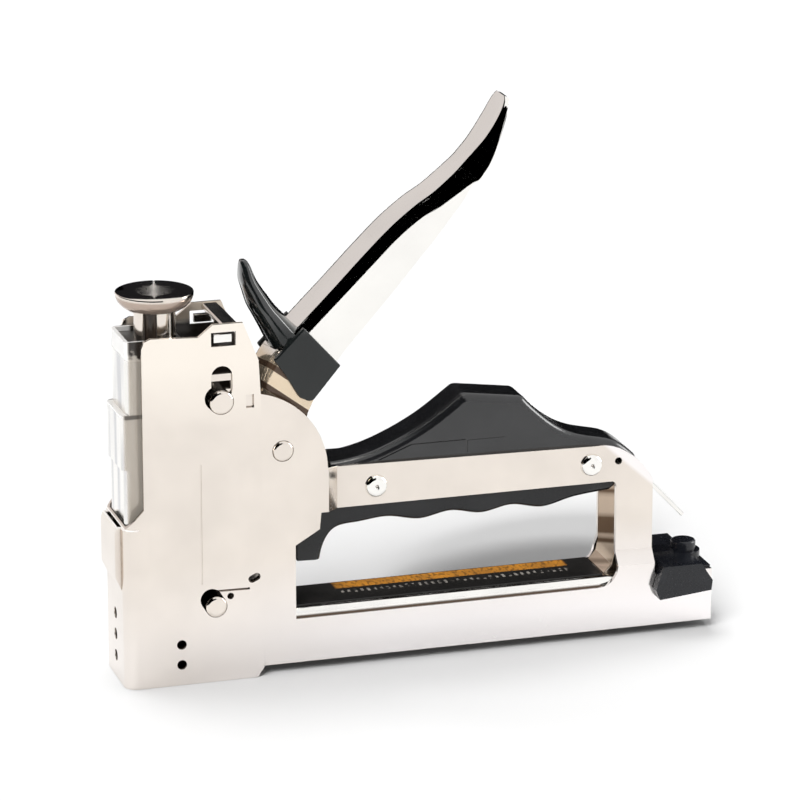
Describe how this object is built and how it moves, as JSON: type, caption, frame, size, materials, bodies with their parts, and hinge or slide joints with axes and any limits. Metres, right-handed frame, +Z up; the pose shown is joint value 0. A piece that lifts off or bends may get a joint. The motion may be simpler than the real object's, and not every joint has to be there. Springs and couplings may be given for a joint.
{
  "type": "compression stapler",
  "caption": "Hand-squeezed staple gun: plated steel head and magazine, lever handle with black guard, grip rail, top power knob and rear-loading core.",
  "frame": {"origin": "under the middle of the whole length, on the plane the nose stands on", "axes": "+X from the nose to the rear, +Z up, near side at -Y"},
  "size_m": [0.2016, 0.033, 0.1841],
  "materials": {
    "plated_steel": "warm satin plating",
    "spring_steel": "oiled spring steel",
    "tool_steel": "ground",
    "black_plastic": "fine grain",
    "guard_plastic": "soft gloss",
    "strip_film": "plain film with one coloured band",
    "bumper_rubber": "matt",
    "bush_bronze": "plain"
  },
  "bodies": {
    "frame": {"nose_housing": "plated_steel", "side_plate_near": "plated_steel", "side_plate_far": "plated_steel", "front_channel": "plated_steel", "top_bar": "plated_steel", "upper_pin": "plated_steel", "lower_pin": "plated_steel", "pivot_pin": "plated_steel", "adjuster_bridge": "tool_steel", "main_spring": "spring_steel", "bumper": "bumper_rubber", "bumper_bar": "tool_steel", "nose_guide": "tool_steel", "nose_shoe": "plated_steel", "palm_grip": "black_plastic", "finger_grip": "black_plastic", "front_rivet": "plated_steel", "rear_rivet": "plated_steel", "rear_web": "plated_steel", "rear_strap": "plated_steel", "magazine_cover": "plated_steel", "cover_strip": "strip_film", "guide_rail_near": "tool_steel", "guide_rail_far": "tool_steel"},
    "handle": {"handle_lever": "plated_steel", "hand_guard": "guard_plastic", "guard_pin": "tool_steel", "pivot_bush": "bush_bronze", "lift_arm": "tool_steel", "lift_roller": "tool_steel", "roller_pin": "tool_steel", "return_spring": "spring_steel"},
    "ram": {"striker": "tool_steel", "driver_blade": "tool_steel", "blade_pin": "tool_steel"},
    "seat": {"spring_seat": "tool_steel"},
    "knob": {"power_knob": "plated_steel", "adjuster_screw": "plated_steel"},
    "core": {"core_rail": "tool_steel", "core_nose": "tool_steel", "core_tail": "tool_steel", "pusher_rod": "tool_steel", "pusher_spring": "spring_steel", "pull_handle": "black_plastic", "latch_pin": "plated_steel", "latch_spring": "spring_steel"},
    "pusher": {"follower": "tool_steel", "follower_slider": "tool_steel"},
    "latch": {"latch_button": "black_plastic"}
  },
  "joints": [
    {"name": "handle_squeeze", "type": "hinge", "parent": "frame", "child": "handle", "pos_m": [-0.0461, 0, 0.0752], "axis": [0, 1, 0], "range_deg": [0, 32], "stiffness_Nm_per_rad": 1.2, "springref_deg": -20.05},
    {"name": "ram_lift", "type": "slide", "parent": "frame", "child": "ram", "axis": [0, 0, 1], "range_m": [0, 0.01843], "deforming": ["main_spring"]},
    {"name": "seat_slide", "type": "slide", "parent": "frame", "child": "seat", "axis": [0, 0, 1], "range_m": [-0.0015, 0.0015], "deforming": ["main_spring"]},
    {"name": "knob_turn", "type": "hinge", "parent": "seat", "child": "knob", "pos_m": [-0.0843, 0, 0.12], "axis": [0, 0, 1], "range_deg": [-362, 362]},
    {"name": "core_draw", "type": "slide", "parent": "frame", "child": "core", "axis": [1, 0, 0], "range_m": [0, 0.11]},
    {"name": "pusher_slide", "type": "slide", "parent": "core", "child": "pusher", "axis": [1, 0, 0], "range_m": [0, 0.1], "stiffness_N_per_m": 40, "springref_m": -0.03, "deforming": ["pusher_spring"]},
    {"name": "latch_press", "type": "slide", "parent": "core", "child": "latch", "axis": [0, 0, -1], "range_m": [0, 0.0025], "stiffness_N_per_m": 300, "springref_m": -0.002, "deforming": ["latch_spring"]}
  ],
  "couplings": [
    {"joint": "ram_lift", "follows": "handle_squeeze", "m_per_rad": 0.032968},
    {"joint": "knob_turn", "follows": "seat_slide", "rad_per_m": 4188.8}
  ]
}
